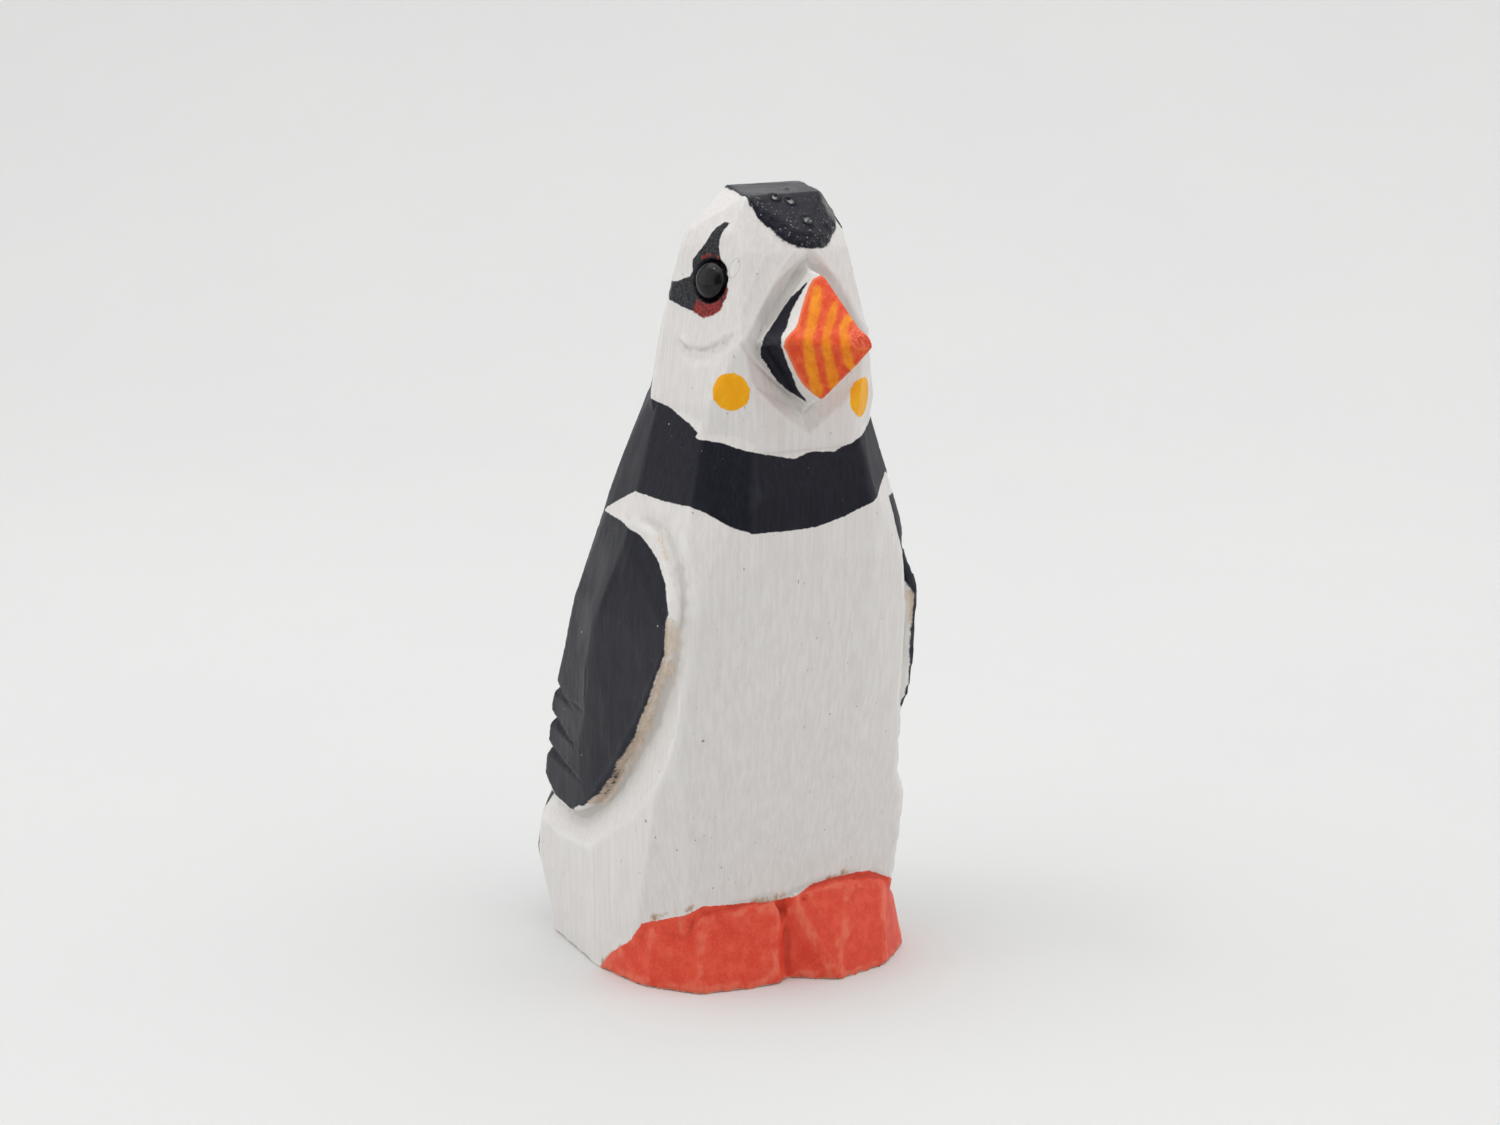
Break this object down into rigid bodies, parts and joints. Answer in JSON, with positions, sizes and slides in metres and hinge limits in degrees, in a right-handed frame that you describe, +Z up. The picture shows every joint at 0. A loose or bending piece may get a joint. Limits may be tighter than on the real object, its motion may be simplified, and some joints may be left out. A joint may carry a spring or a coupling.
{
  "type": "carved puffin figurine",
  "caption": "Small hand-carved wooden puffin that stands upright, with flat knife facets, raised wings behind gouged channels, a wedge beak in a sunken frame, bead eyes and lobed feet.",
  "frame": {"origin": "centre of the bounding box's underside, on the ground the figure stands on", "axes": "+Z up through the head, -Y is where the beak points, +X is the bird's own left"},
  "size_m": [0.0282, 0.0412, 0.072],
  "materials": {
    "painted_wood": "brushed matt paint on soft wood: white front, black cap, collar, wings and back, coral feet, orange striped beak",
    "black_bead": "glossy black"
  },
  "bodies": {
    "root": {"puffin_body": "painted_wood", "eye_right": "black_bead", "eye_left": "black_bead"}
  },
  "joints": []
}
